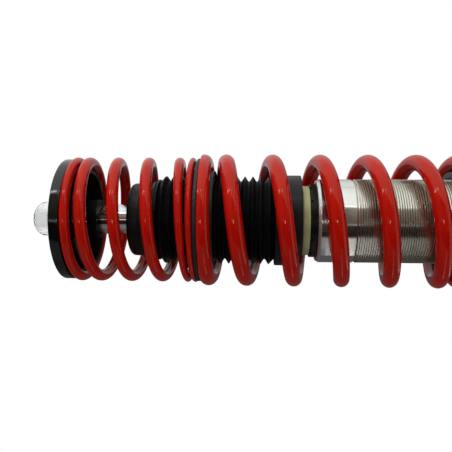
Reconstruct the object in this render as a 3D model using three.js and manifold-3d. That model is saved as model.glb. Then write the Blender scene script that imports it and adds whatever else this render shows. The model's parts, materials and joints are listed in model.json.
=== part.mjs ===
// Front coilover strut: threaded damper tube, screw-on lower perch, main spring, divider,
// helper spring and upper spring plate, with the damper's working parts inside.
// Millimetres, +Z up along the strut's axis. The origin is the centre of the tube's lower face.
import * as THREE from 'three';
import { mergeVertices } from 'three/addons/utils/BufferGeometryUtils.js';
import Module from 'manifold-3d';

// ---------------------------------------------------------------- driving dimensions
const gap = 0.3; // clearance between neighbouring pieces

// damper tube
const tubeRadius = 27.5;
const tubeWall = 3;
const tubeLength = 303;
const tubeChamfer = 1.8;
const threadBase = 147; // the outside thread runs from here
const threadDrop = 24.4; // to this far below the tube's top
const threadDepth = 0.9;
const threadPitch = 1.5;
const threadCoarse = 4; // turns of the thread that one drawn groove stands for
const capThickness = 8; // bottom cap
const stopRingHeight = 96; // underside of the clamp stop ring
const stopRingThickness = 4.5;
const stopRingStep = 3.5;

// stack on the tube's top end
const glandProud = 4.2; // how far the gland ring stands out of the tube
const glandDepth = 7;
const glandNotches = 12;
const glandNotchWidth = 2;
const glandNotchDepth = 1.2;
const strikeRadius = 22.9;
const strikeThickness = 5;
const collarRadius = 29.9;
const collarHeight = 17.3;
const collarWall = 2.6;
const collarLid = 2;
const ribCount = 14; // convolutions of the dust boot
const ribPitch = 5.25;
const ribRadius = 29.5;
const ribValley = 25.3;
const bootBore = 23.9;
const bootEnd = 3.4; // plain length at each end of the boot
const shoulderRadius = 26.9;
const shoulderHeight = 2.8;
const neckRadius = 25.1;
const neckHeight = 8;
const cupRadius = 24.3;
const cupHeight = 8.6;
const cupRounding = 4;
const cupLid = 4.4;
const bumpRadius = 21.9;
const bumpLength = 58;
const bumpWaist = 17.5;
const bumpWaists = 2;
const bumpLand = 0.44; // share of each lobe's length that is straight

// piston rod, upper end
const rodRadius = 10;
const studRadius = 7;
const studProud = 19.6; // stud above the upper plate
const studFlat = 5.5; // half width across the two flats of the stud's tip
const studFlatLength = 6;
const protectorRadius = 11.5;
const protectorDome = 8;
const protectorHeight = 23.4;
const capSeatRadius = 12.3; // shallow recess of the upper plate that the cap stands in
const capSeatDepth = 0.6;

// springs: wire, size over the coil, length, turns
const mainWire = 5.3;
const mainOver = 43.7;
const mainLength = 169.8;
const helperWire = 3.8;
const helperOver = 41.6;
const helperLength = 81.7;
const perchDrop = 95.3; // tube top down to the lower perch's seat

// upper spring plate
const plateRadius = 40.3;
const plateThickness = 6.4;
const plateWeb = 4.5;
const lipHeight = 9.4;
const lipWall = 3;
const hubRadius = 13;
const hubHeight = 15.8;
const rodShoulder = 11; // how far the thick part of the rod enters the hub
const edgeChamfer = 0.8;

// divider between the springs
const dividerRadius = 41;
const dividerThickness = 2.6;
const dividerWall = 2.1;
const dividerLower = 9;
const dividerUpper = 6.4;

// lower perch and its rings
const perchRadius = 44.5;
const perchThickness = 6;
const perchCollar = 9.1;
const threadClearance = 0.6;
const washerRadius = tubeRadius + 11;
const washerThickness = 2;
const ringRadius = tubeRadius + 9.5;
const adjusterHeight = 15;
const lockHeight = 10;
const ringSlots = 8;
const ringSlotWidth = 8;
const ringSlotDepth = 3.5;
const lockScrewRadius = 3;
const lockScrewInset = 1;

// inside the damper
const pressureBore = 18;
const pressureWall = 2;
const valveBase = 6;
const spigotHeight = 7;
const sealHeight = 6;
const guideHeight = 14;
const bushWall = 1.5;
const reboundRadius = 14.5;
const reboundHeight = 5.7;
const pistonRodLength = 10; // rod between the rebound stop and the piston's shims
const pistonHeight = 16;
const pistonHoles = 6;
const pistonHoleRadius = 1.8;
const pistonHoleCircle = 10.5;
const bandHeight = 8;
const bandDepth = 1.6;
const shimThickness = 2.4;
const shimRadius = 14.5;
const spindleRadius = 6;
const nutRadius = 10.4; // over the corners
const nutHeight = 9;
const spindleTip = 2;

// brackets on the lower tube
const saddleWall = 3;
const saddleAngle = 0.62; // half of the arc that a bracket wraps, radians
const linkBase = 110; // underside of the drop-link bracket
const linkHeight = 32;
const linkReach = 58;
const linkThickness = 5;
const linkTip = 12.5;
const linkHole = 5.2;
const hoseBase = 118; // underside of the brake-hose bracket
const hoseThickness = 3;
const hoseReach = 58;
const hoseHalfWidth = 13;
const hoseHole = 7;
const hoseRoot = 4; // from the tube to where the hose bracket is parallel
const hoseTaper = 0.7; // share of the width left at the bracket's tip and at the slot's mouth
const hoseLead = 6; // length of the slot's straight mouth
const tabBase = 52; // underside of the locating tab
const tabHeight = 32;
const tabWidth = 6;
const tabReach = 5.5;

// facets round a revolved piece, and steps along an arc
const wide = 32;
const middle = 24;
const fine = 18;
const holeFacets = 8;
const saddleSteps = 8;
const earSteps = 12;
const slotSteps = 20;
const cornerSteps = 4;
const domeSteps = 5;
const coilSteps = 20; // per turn
const wireSides = 6;

// ---------------------------------------------------------------- derived heights
const tubeBore = tubeRadius - tubeWall;
const tubeTop = tubeLength;
const perchSeat = tubeTop - perchDrop;
const dividerUnder = perchSeat + mainLength + 2 * gap;
const dividerTop = dividerUnder + dividerThickness;
const plateSeat = dividerTop + helperLength + 2 * gap;
const plateTop = plateSeat + plateThickness;
const glandTop = tubeTop + glandProud;
const strikeBase = glandTop + gap;
const collarBase = strikeBase + strikeThickness + gap;
const bootBase = collarBase + collarHeight + gap;
const bootTop = bootBase + (ribCount - 1) * ribPitch + 2 * bootEnd;
const cupBase = bootTop + gap;
const cupTop = cupBase + shoulderHeight + neckHeight + cupHeight;
const glandBase = tubeTop - glandDepth;
const sealBase = glandBase - gap - sealHeight;
const guideTop = sealBase - gap;
const guideBase = guideTop - guideHeight;
const reboundTop = guideBase - spigotHeight - gap;
const reboundBase = reboundTop - reboundHeight;
const rodEnd = reboundBase - pistonRodLength;
const innerRadius = tubeBore - gap; // pieces that fit the tube's bore
const spigotRadius = pressureBore - gap;
const rodBore = rodRadius + gap;

// ---------------------------------------------------------------- materials
const paint = (colour, roughness, metalness) =>
  new THREE.MeshStandardMaterial({ color: colour, roughness, metalness });
const redCoat = () => paint(0xb4160c, 0.25, 0.1);
const zinc = () => paint(0xb9b8b2, 0.25, 1.0);
const chrome = () => paint(0xd8d9dc, 0.08, 1.0);
const blackMetal = () => paint(0x17191a, 0.35, 0.4);
const blackRubber = () => paint(0x1b1d1e, 0.6, 0.0);
const creamPlastic = () => paint(0xb4b184, 0.5, 0.0);
const clearPlastic = () => paint(0xe6eae8, 0.2, 0.0);
const steel = () => paint(0x8f9294, 0.4, 1.0);
const foam = () => paint(0xc9b45c, 0.8, 0.0);

// ---------------------------------------------------------------- geometry helpers
const part = new THREE.Group();

function add(name, geometry, material) {
  const mesh = new THREE.Mesh(geometry, material);
  mesh.name = name;
  part.add(mesh);
  return mesh;
}

// Turns a closed outline of [radius, height] points about the Z axis.
function turned(outline, facets) {
  let area = 0;
  outline.forEach(([r, z], i) => {
    const [nextR, nextZ] = outline[(i + 1) % outline.length];
    area += r * nextZ - nextR * z;
  });
  const ordered = area > 0 ? outline : [...outline].reverse();
  const points = [...ordered, ordered[0]].map(([r, z]) => new THREE.Vector2(r, z));
  return new THREE.LatheGeometry(points, facets).rotateX(Math.PI / 2);
}

// A plain round ring or, with no bore, a disc.
function ringOutline(bore, radius, bottom, top, chamfer = 0) {
  return [
    [bore, bottom],
    [radius - chamfer, bottom],
    ...(chamfer ? [[radius, bottom + chamfer]] : []),
    ...(chamfer ? [[radius, top - chamfer]] : []),
    [radius - chamfer, top],
    [bore, top],
  ];
}

function flatShape(points, thickness) {
  const shape = new THREE.Shape(points.map(([x, y]) => new THREE.Vector2(x, y)));
  return new THREE.ExtrudeGeometry(shape, { depth: thickness, bevelEnabled: false });
}

// Points along an arc from one angle to another, both ends included.
function arc(x, y, radius, from, to, steps) {
  return Array.from({ length: steps + 1 }, (_, i) => {
    const angle = from + ((to - from) * i) / steps;
    return [x + radius * Math.cos(angle), y + radius * Math.sin(angle)];
  });
}

const wasm = await Module();
wasm.setup();

function toSolid(geometry) {
  const bare = geometry.clone();
  bare.deleteAttribute('normal');
  bare.deleteAttribute('uv');
  const merged = mergeVertices(bare, 1e-4);
  const corners = [];
  const index = merged.index.array;
  for (let i = 0; i < index.length; i += 3) {
    const [a, b, c] = [index[i], index[i + 1], index[i + 2]];
    if (a !== b && b !== c && c !== a) corners.push(a, b, c);
  }
  return new wasm.Manifold(
    new wasm.Mesh({
      numProp: 3,
      vertProperties: new Float32Array(merged.attributes.position.array),
      triVerts: new Uint32Array(corners),
    }),
  );
}

function toGeometry(solid) {
  const mesh = solid.getMesh();
  const geometry = new THREE.BufferGeometry();
  geometry.setAttribute('position', new THREE.BufferAttribute(new Float32Array(mesh.vertProperties), 3));
  geometry.setIndex(new THREE.BufferAttribute(new Uint32Array(mesh.triVerts), 1));
  geometry.computeVertexNormals();
  return geometry;
}

function cut(body, tools) {
  return toGeometry(tools.reduce((solid, tool) => solid.subtract(toSolid(tool)), toSolid(body)));
}

function join(bodies) {
  const [first, ...rest] = bodies.map(toSolid);
  return toGeometry(rest.reduce((solid, other) => solid.add(other), first));
}

// ---------------------------------------------------------------- coil springs
// Area under a smooth step, so that a rate which ramps up can be added up to a height.
function rampArea(u) {
  if (u <= 0) return 0;
  return u >= 1 ? u - 0.5 : u ** 3 - u ** 4 / 2;
}

function smooth(u) {
  const t = Math.min(1, Math.max(0, u));
  return t * t * (3 - 2 * t);
}

// Height of the wire's centre at a number of turns from the lower tip. Each end has its rise
// of the tip's centre over the seat, its closed pitch and the turn where it opens to the
// working pitch, over a ramp of so many turns. The working pitch fills the length between.
function coilHeight(spring, turn) {
  const { low, high, turns, length } = spring;
  const open = (end, t) => end.ramp * rampArea((t - end.opens) / end.ramp + 0.5);
  const lowClosed = (t) => t - open(low, t);
  const highClosed = (t) => t - (open(high, turns) - open(high, turns - t));
  const working = (t) => t - lowClosed(t) - highClosed(t);
  const closedRise = (t) => low.pitch * lowClosed(t) + high.pitch * highClosed(t);
  const workingPitch = (length - low.rise - high.rise - closedRise(turns)) / working(turns);
  return low.rise + closedRise(turn) + workingPitch * working(turn);
}

// Share of the wire's thickness along the coil's axis: rolled thinner towards a tip.
function coilThickness(spring, turn) {
  const thin = (end, away) => 1 - end.thin * (1 - smooth((away - end.thinTurns) / end.thinRamp));
  return Math.min(thin(spring.low, turn), thin(spring.high, spring.turns - turn));
}

// One unbroken wire. Its sides that would pass a seat are ground flat on it.
function coil(spring) {
  const steps = Math.ceil(spring.turns * spring.stepsPerTurn);
  const mean = spring.over - spring.wire;
  const rings = [];
  for (let i = 0; i <= steps; i += 1) {
    const turn = (spring.turns * i) / steps;
    const angle = spring.start + 2 * Math.PI * turn;
    const height = coilHeight(spring, turn);
    const thickness = spring.wire * coilThickness(spring, turn);
    const ring = [];
    for (let k = 0; k < spring.sides; k += 1) {
      const a = (2 * Math.PI * (k + 0.5)) / spring.sides;
      const radius = mean + spring.wire * Math.cos(a);
      const z = Math.min(spring.length, Math.max(0, height + thickness * Math.sin(a)));
      ring.push([radius * Math.cos(angle), radius * Math.sin(angle), spring.base + z]);
    }
    rings.push(ring);
  }
  return rings;
}

// Joins rings of points into one closed tube.
function tubeOfRings(rings) {
  const sides = rings[0].length;
  const index = [];
  for (let i = 0; i + 1 < rings.length; i += 1) {
    for (let k = 0; k < sides; k += 1) {
      const a = i * sides + k;
      const b = i * sides + ((k + 1) % sides);
      index.push(a, a + sides, b, b, a + sides, b + sides);
    }
  }
  const last = (rings.length - 1) * sides;
  for (let k = 1; k + 1 < sides; k += 1) {
    index.push(0, k, k + 1);
    index.push(last, last + k + 1, last + k);
  }
  const geometry = new THREE.BufferGeometry();
  geometry.setAttribute('position', new THREE.Float32BufferAttribute(rings.flat(2), 3));
  geometry.setIndex(index);
  return outward(geometry);
}

// Turns every face over if the body was wound inside out.
function outward(geometry) {
  const p = geometry.attributes.position;
  const index = geometry.index.array;
  const [a, b, c] = [new THREE.Vector3(), new THREE.Vector3(), new THREE.Vector3()];
  let volume = 0;
  for (let i = 0; i < index.length; i += 3) {
    a.fromBufferAttribute(p, index[i]);
    b.fromBufferAttribute(p, index[i + 1]);
    c.fromBufferAttribute(p, index[i + 2]);
    volume += a.dot(b.cross(c));
  }
  if (volume < 0) {
    for (let i = 0; i < index.length; i += 3) {
      [index[i + 1], index[i + 2]] = [index[i + 2], index[i + 1]];
    }
  }
  geometry.computeVertexNormals();
  return geometry;
}

// Least distance between the wire's surface points that lie half a turn or more apart.
function leastGap(rings, stepsPerTurn) {
  let least = Infinity;
  for (let i = 0; i < rings.length; i += 1) {
    for (let j = i + Math.floor(stepsPerTurn / 2); j < rings.length; j += 1) {
      for (const [x, y, z] of rings[i]) {
        for (const [u, v, w] of rings[j]) {
          least = Math.min(least, Math.hypot(x - u, y - v, z - w));
        }
      }
    }
  }
  return least;
}

function springNode(name, spring) {
  const rings = coil(spring);
  console.log(`${name}: least gap to itself ${leastGap(rings, spring.stepsPerTurn).toFixed(2)} mm`);
  add(name, tubeOfRings(rings), redCoat());
}

function springs() {
  springNode('main_spring', {
    base: perchSeat + gap,
    length: mainLength,
    wire: mainWire,
    over: mainOver,
    turns: 6.634,
    start: 3.0, // the lower tip's direction, radians about the strut's axis
    stepsPerTurn: coilSteps,
    sides: wireSides,
    low: { rise: 2.0, pitch: 1.1, opens: 0.61, ramp: 0.75, thin: 0, thinTurns: 0, thinRamp: 1 },
    high: { rise: 1.08, pitch: 0.68, opens: 0.68, ramp: 1.56, thin: 0, thinTurns: 0, thinRamp: 1 },
  });
  springNode('helper_spring', {
    base: dividerTop + gap,
    length: helperLength,
    wire: helperWire,
    over: helperOver,
    turns: 5.626,
    start: 3.026,
    stepsPerTurn: coilSteps,
    sides: wireSides,
    low: { rise: 0.52, pitch: 5.22, opens: 1.27, ramp: 0.66, thin: 0.4, thinTurns: 1.1, thinRamp: 0.6 },
    high: { rise: 0.28, pitch: 7.08, opens: 1.15, ramp: 0.8, thin: 0.24, thinTurns: 0.1, thinRamp: 0.9 },
  });
}

// ---------------------------------------------------------------- damper tube and its welded parts
// The tube's thread, drawn as coarse grooves that each stand for several of its turns.
function threadOutline() {
  const length = tubeTop - threadDrop - threadBase;
  const grooves = Math.round(length / (threadCoarse * threadPitch));
  const groove = length / grooves;
  const turns = Array.from({ length: grooves }, (_, i) => [
    [tubeRadius, threadBase + i * groove],
    [tubeRadius - threadDepth, threadBase + (i + 0.5) * groove],
  ]);
  return [...turns.flat(), [tubeRadius, threadBase + length]];
}

function damperTube() {
  const top = tubeTop;
  const outline = [
    [tubeBore, 0],
    [tubeRadius - tubeChamfer, 0],
    [tubeRadius, tubeChamfer],
    ...threadOutline(),
    [tubeRadius, top - tubeChamfer],
    [tubeRadius - tubeChamfer, top],
    [tubeBore, top],
  ];
  add('strut_tube', turned(outline, wide), zinc());
  add('bottom_cap', turned(ringOutline(0, innerRadius, 0, capThickness), middle), zinc());
  const stopBore = tubeRadius + gap;
  const stopTop = stopRingHeight + stopRingThickness;
  add(
    'clamp_stop_ring',
    turned(ringOutline(stopBore, tubeRadius + stopRingStep, stopRingHeight, stopTop, edgeChamfer), wide),
    zinc(),
  );
}

// A curved pad that lies on the tube, centred on +X.
function saddle(base, height) {
  const inner = tubeRadius + gap;
  const outline = [
    ...arc(0, 0, inner + saddleWall, -saddleAngle, saddleAngle, saddleSteps),
    ...arc(0, 0, inner, saddleAngle, -saddleAngle, saddleSteps),
  ];
  return flatShape(outline, height).translate(0, 0, base);
}

// Drop-link bracket: an upright ear with one cross hole, on a saddle. It points along -X.
function linkBracket() {
  const inner = tubeRadius + gap + saddleWall / 2;
  const centre = linkReach - linkTip;
  const middleHeight = linkHeight / 2;
  const outline = [
    [inner, 0],
    ...arc(centre, middleHeight, linkTip, -Math.PI / 2, Math.PI / 2, earSteps),
    [inner, linkHeight],
  ];
  const hole = new THREE.CylinderGeometry(linkHole, linkHole, 3 * linkThickness, fine);
  hole.translate(centre, 0, linkBase + middleHeight);
  const ear = flatShape(outline, linkThickness)
    .rotateX(Math.PI / 2)
    .translate(0, linkThickness / 2, linkBase);
  const body = cut(join([saddle(linkBase, linkHeight), ear]), [hole]);
  add('link_bracket', body.rotateZ(Math.PI), zinc());
}

// Brake-hose bracket: a level tab with an open slot for the hose's grommet. It points along +Y.
function hoseBracket() {
  const inner = tubeRadius + gap;
  const centre = hoseReach - hoseHalfWidth;
  const wrap = Math.asin(hoseHalfWidth / inner);
  const root = Math.sqrt(inner ** 2 - hoseHalfWidth ** 2) + hoseRoot;
  const mouth = Math.asin(hoseTaper);
  const lead = centre + hoseHole * Math.cos(mouth) + hoseLead;
  const outline = [
    ...arc(0, 0, inner, wrap, -wrap, saddleSteps),
    [root, -hoseHalfWidth],
    [centre, -hoseHalfWidth],
    [hoseReach, -hoseHalfWidth * hoseTaper],
    [lead, -hoseHole * hoseTaper],
    ...arc(centre, 0, hoseHole, -mouth, mouth - 2 * Math.PI, slotSteps),
    [lead, hoseHole * hoseTaper],
    [hoseReach, hoseHalfWidth * hoseTaper],
    [centre, hoseHalfWidth],
    [root, hoseHalfWidth],
  ];
  const tab = flatShape(outline, hoseThickness).translate(0, 0, hoseBase);
  add('hose_bracket', tab.rotateZ(Math.PI / 2), zinc());
}

// Locating tab that enters the slot of the knuckle's clamp. It points along -Y.
function locatingTab() {
  const inner = tubeRadius + gap;
  const outline = [
    [inner, 0],
    [inner + tabReach, tabReach],
    [inner + tabReach, tabHeight - tabReach],
    [inner, tabHeight],
  ];
  const tab = flatShape(outline, tabWidth)
    .rotateX(Math.PI / 2)
    .translate(0, tabWidth / 2, tabBase);
  add('locating_tab', tab.rotateZ(-Math.PI / 2), zinc());
}

// ---------------------------------------------------------------- stack on the tube's top end
function glandRing() {
  const body = turned(ringOutline(rodBore, innerRadius, glandBase, glandTop, edgeChamfer), middle);
  const notches = Array.from({ length: glandNotches }, (_, i) => {
    const notch = new THREE.BoxGeometry(2 * glandNotchDepth, glandNotchWidth, 2 * glandNotchDepth);
    return notch.translate(innerRadius, 0, glandTop).rotateZ((2 * Math.PI * i) / glandNotches);
  });
  add('gland_ring', cut(body, notches), blackMetal());
}

function strikeRing() {
  const top = strikeBase + strikeThickness;
  add('strike_ring', turned(ringOutline(rodBore, strikeRadius, strikeBase, top, edgeChamfer), middle), creamPlastic());
}

function dustBoot() {
  const outer = [[ribValley, bootBase]];
  for (let i = 0; i < ribCount; i += 1) {
    const crest = bootBase + bootEnd + i * ribPitch;
    outer.push([ribRadius, crest]);
    outer.push([ribValley, i + 1 < ribCount ? crest + ribPitch / 2 : bootTop]);
  }
  const outline = [[bootBore, bootBase], ...outer, [bootBore, bootTop]];
  add('dust_boot', turned(outline, middle), blackRubber());
  const collarTop = collarBase + collarHeight;
  const collarBore = collarRadius - collarWall;
  add(
    'boot_collar',
    turned(
      [
        [collarBore, collarBase],
        [collarRadius - edgeChamfer, collarBase],
        [collarRadius, collarBase + edgeChamfer],
        [collarRadius, collarTop - edgeChamfer],
        [collarRadius - edgeChamfer, collarTop],
        [bootBore, collarTop],
        [bootBore, collarTop - collarLid],
        [collarBore, collarTop - collarLid],
      ],
      middle,
    ),
    blackRubber(),
  );
}

// Rubber cup that holds the bump stop's head and carries the boot's upper end.
function bootCup() {
  const shoulderTop = cupBase + shoulderHeight;
  const neckTop = shoulderTop + neckHeight;
  const bore = bumpRadius + gap;
  const lidUnder = cupTop - cupLid;
  const corner = arc(cupRadius - cupRounding, cupTop - cupRounding, cupRounding, 0, Math.PI / 2, cornerSteps);
  add(
    'boot_cup',
    turned(
      [
        [bore, cupBase],
        [shoulderRadius, cupBase],
        [shoulderRadius, shoulderTop - edgeChamfer],
        [neckRadius, shoulderTop + edgeChamfer],
        [neckRadius, neckTop - edgeChamfer],
        [cupRadius, neckTop],
        ...corner,
        [rodBore, cupTop],
        [rodBore, lidUnder],
        [bore, lidUnder],
      ],
      middle,
    ),
    blackRubber(),
  );
}

// Foam bump stop with rounded waists and a narrower nose, hanging in the cup.
function bumpStop() {
  const top = cupTop - cupLid - gap;
  const base = top - bumpLength;
  const lobe = bumpLength / (bumpWaists + 1);
  const slant = (lobe * (1 - bumpLand)) / 2;
  const outer = [[bumpWaist, base]];
  for (let i = 0; i <= bumpWaists; i += 1) {
    const low = base + i * lobe;
    outer.push([bumpRadius, low + slant]);
    outer.push([bumpRadius, low + lobe - slant]);
    if (i < bumpWaists) outer.push([bumpWaist, low + lobe]);
  }
  outer.push([bumpRadius, top]);
  add('bump_stop', turned([[rodBore, base], ...outer, [rodBore, top]], fine), foam());
}

// ---------------------------------------------------------------- upper plate, rod and cap
function upperPlate() {
  const lipRadius = helperOver - 2 * helperWire - gap;
  const lipBore = lipRadius - lipWall;
  const lipUnder = plateSeat - lipHeight;
  const hubUnder = plateSeat - hubHeight;
  const webUnder = plateTop - plateWeb;
  const shoulder = hubUnder + rodShoulder;
  add(
    'upper_spring_plate',
    turned(
      [
        [rodBore, hubUnder],
        [hubRadius - edgeChamfer, hubUnder],
        [hubRadius, hubUnder + edgeChamfer],
        [hubRadius, webUnder],
        [lipBore, webUnder],
        [lipBore, lipUnder],
        [lipRadius - edgeChamfer, lipUnder],
        [lipRadius, lipUnder + edgeChamfer],
        [lipRadius, plateSeat],
        [plateRadius - edgeChamfer, plateSeat],
        [plateRadius, plateSeat + edgeChamfer],
        [plateRadius, plateTop - edgeChamfer],
        [plateRadius - edgeChamfer, plateTop],
        [capSeatRadius, plateTop],
        [capSeatRadius, plateTop - capSeatDepth],
        [studRadius + gap, plateTop - capSeatDepth],
        [studRadius + gap, shoulder + gap],
        [rodBore, shoulder + gap],
      ],
      wide,
    ),
    blackMetal(),
  );
}

function pistonRod() {
  const shoulder = plateSeat - hubHeight + rodShoulder;
  const tip = plateTop + studProud;
  const pistonStack = 2 * shimThickness + pistonHeight + nutHeight + 4 * gap;
  const spindleEnd = rodEnd - pistonStack - spindleTip;
  const outline = [
    [0, spindleEnd],
    [spindleRadius - edgeChamfer, spindleEnd],
    [spindleRadius, spindleEnd + edgeChamfer],
    [spindleRadius, rodEnd],
    [rodRadius, rodEnd],
    [rodRadius, shoulder - edgeChamfer],
    [rodRadius - edgeChamfer, shoulder],
    [studRadius, shoulder],
    [studRadius, tip - edgeChamfer],
    [studRadius - edgeChamfer, tip],
    [0, tip],
  ];
  const side = 2 * studRadius;
  const flats = [-1, 1].map((sign) =>
    new THREE.BoxGeometry(side, side, 2 * studFlatLength).translate(sign * (studFlat + side / 2), 0, tip),
  );
  add('piston_rod', cut(turned(outline, fine), flats), chrome());
}

function protectorCap() {
  const base = plateTop - capSeatDepth + gap;
  const dome = plateTop + protectorHeight - protectorDome;
  const bore = studRadius + gap;
  const outer = Array.from({ length: domeSteps + 1 }, (_, i) => {
    const angle = (Math.PI / 2) * (i / domeSteps);
    return [protectorRadius * Math.cos(angle), dome + protectorDome * Math.sin(angle)];
  });
  const ceiling = plateTop + studProud + gap;
  add(
    'thread_protector_cap',
    turned([[bore, base], [protectorRadius, base], ...outer, [0, ceiling], [bore, ceiling]], fine),
    clearPlastic(),
  );
}

// ---------------------------------------------------------------- divider
function divider() {
  const outer = mainOver - 2 * mainWire - gap;
  const bore = outer - dividerWall;
  const under = dividerUnder - dividerLower;
  const over = dividerTop + dividerUpper;
  add(
    'spring_divider',
    turned(
      [
        [bore, under],
        [outer - edgeChamfer, under],
        [outer, under + 2 * edgeChamfer],
        [outer, dividerUnder],
        [dividerRadius - edgeChamfer, dividerUnder],
        [dividerRadius, dividerUnder + edgeChamfer],
        [dividerRadius, dividerTop - edgeChamfer],
        [dividerRadius - edgeChamfer, dividerTop],
        [outer, dividerTop],
        [outer, over - 2 * edgeChamfer],
        [outer - edgeChamfer, over],
        [bore, over],
      ],
      wide,
    ),
    blackMetal(),
  );
}

// ---------------------------------------------------------------- lower perch and rings
function ringWithSlots(name, bottom, height, tools) {
  const bore = tubeRadius + threadClearance;
  const body = turned(ringOutline(bore, ringRadius, bottom, bottom + height, edgeChamfer), wide);
  const slots = Array.from({ length: ringSlots }, (_, i) => {
    const slot = new THREE.BoxGeometry(2 * ringSlotDepth, ringSlotWidth, 3 * height);
    return slot.translate(ringRadius, 0, bottom).rotateZ((2 * Math.PI * i) / ringSlots);
  });
  add(name, cut(body, [...slots, ...tools]), blackMetal());
}

function lowerPerch() {
  const bore = tubeRadius + threadClearance;
  const collar = mainOver - 2 * mainWire - gap;
  const under = perchSeat - perchThickness;
  const top = perchSeat + perchCollar;
  add(
    'lower_spring_perch',
    turned(
      [
        [bore, under],
        [perchRadius - 2 * edgeChamfer, under],
        [perchRadius, under + 2 * edgeChamfer],
        [perchRadius, perchSeat - edgeChamfer],
        [perchRadius - edgeChamfer, perchSeat],
        [collar, perchSeat],
        [collar, top - 2 * edgeChamfer],
        [collar - 2 * edgeChamfer, top],
        [bore, top],
      ],
      wide,
    ),
    blackMetal(),
  );
  const washerTop = under - gap;
  const washerUnder = washerTop - washerThickness;
  add('thrust_washer', turned(ringOutline(bore, washerRadius, washerUnder, washerTop), wide), steel());
  const adjusterUnder = washerUnder - gap - adjusterHeight;
  ringWithSlots('adjuster_collar', adjusterUnder, adjusterHeight, []);
  const lockUnder = adjusterUnder - gap - lockHeight;
  lockRing(lockUnder, bore);
}

// The lock ring has one radial grub screw, half-way between two slots.
function lockRing(under, bore) {
  const direction = Math.PI / ringSlots;
  const height = under + lockHeight / 2;
  const radial = (radius, from, to) =>
    new THREE.CylinderGeometry(radius, radius, to - from, fine)
      .rotateZ(Math.PI / 2)
      .translate((from + to) / 2, 0, height)
      .rotateZ(direction);
  const hole = radial(lockScrewRadius + gap, bore - 1, ringRadius + 1);
  ringWithSlots('lock_ring', under, lockHeight, [hole]);
  add('lock_screw', radial(lockScrewRadius, bore + gap, ringRadius - lockScrewInset), steel());
}

// ---------------------------------------------------------------- inside the damper
function damperInternals() {
  const pressureRadius = pressureBore + pressureWall;
  const valveUnder = capThickness + gap;
  const valveTop = valveUnder + valveBase;
  add(
    'foot_valve',
    turned(
      [
        [0, valveUnder],
        [innerRadius, valveUnder],
        [innerRadius, valveTop],
        [spigotRadius, valveTop],
        [spigotRadius, valveTop + spigotHeight],
        [0, valveTop + spigotHeight],
      ],
      middle,
    ),
    steel(),
  );
  const shimUnder = valveTop + spigotHeight + gap;
  add('foot_valve_shims', turned(ringOutline(0, shimRadius, shimUnder, shimUnder + shimThickness), fine), steel());
  add(
    'pressure_tube',
    turned(ringOutline(pressureBore, pressureRadius, valveTop + gap, guideBase - gap), middle),
    steel(),
  );
  const bushBore = rodBore + bushWall + gap;
  add(
    'rod_guide',
    turned(
      [
        [bushBore, guideBase - spigotHeight],
        [spigotRadius, guideBase - spigotHeight],
        [spigotRadius, guideBase],
        [innerRadius, guideBase],
        [innerRadius, guideTop],
        [bushBore, guideTop],
      ],
      middle,
    ),
    steel(),
  );
  add(
    'guide_bush',
    turned(ringOutline(rodBore, rodBore + bushWall, guideBase - spigotHeight, guideTop), fine),
    steel(),
  );
  add('rod_seal', turned(ringOutline(rodBore, innerRadius, sealBase, sealBase + sealHeight), middle), blackRubber());
  add('rebound_stop', turned(ringOutline(rodBore, reboundRadius, reboundBase, reboundTop, edgeChamfer), fine), steel());
}

function piston() {
  const bore = spindleRadius + gap;
  const upperShims = rodEnd - gap - shimThickness;
  const top = upperShims - gap;
  const base = top - pistonHeight;
  const radius = pressureBore - 2 * gap;
  const groove = radius - bandDepth;
  const bandUnder = base + (pistonHeight - bandHeight) / 2;
  const bandTop = bandUnder + bandHeight;
  const body = turned(
    [
      [bore, base],
      [radius, base],
      [radius, bandUnder],
      [groove, bandUnder],
      [groove, bandTop],
      [radius, bandTop],
      [radius, top],
      [bore, top],
    ],
    middle,
  );
  const holes = Array.from({ length: pistonHoles }, (_, i) =>
    new THREE.CylinderGeometry(pistonHoleRadius, pistonHoleRadius, 2 * pistonHeight, holeFacets)
      .rotateX(Math.PI / 2)
      .translate(pistonHoleCircle, 0, (base + top) / 2)
      .rotateZ((2 * Math.PI * i) / pistonHoles),
  );
  add('piston', cut(body, holes), steel());
  add(
    'piston_band',
    turned(ringOutline(groove + gap, pressureBore - gap, bandUnder + gap, bandTop - gap), middle),
    blackRubber(),
  );
  const shims = (name, under) =>
    add(name, turned(ringOutline(bore, shimRadius, under, under + shimThickness), fine), steel());
  shims('rebound_shims', upperShims);
  const lowerShims = base - gap - shimThickness;
  shims('compression_shims', lowerShims);
  const nutUnder = lowerShims - gap - nutHeight;
  const hexagon = new THREE.CylinderGeometry(nutRadius, nutRadius, nutHeight, 6);
  const nutBore = new THREE.CylinderGeometry(bore, bore, 2 * nutHeight, fine);
  const nut = cut(hexagon, [nutBore]).rotateX(Math.PI / 2).translate(0, 0, nutUnder + nutHeight / 2);
  add('piston_nut', nut, steel());
}

// ---------------------------------------------------------------- the strut
damperTube();
linkBracket();
hoseBracket();
locatingTab();
glandRing();
strikeRing();
dustBoot();
bootCup();
bumpStop();
upperPlate();
pistonRod();
protectorCap();
divider();
springs();
lowerPerch();
damperInternals();
piston();

export default part;
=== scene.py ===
# Looks of a front coilover strut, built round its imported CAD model. Run by Blender 4.5.
# Lengths are in millimetres until a mesh is made, +Z runs up the strut, and the photograph's
# camera looks along +Y with +X as its up, so the strut lies across the picture.
import json
import math

import bmesh
import bpy
from mathutils import Matrix, Vector

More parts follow.
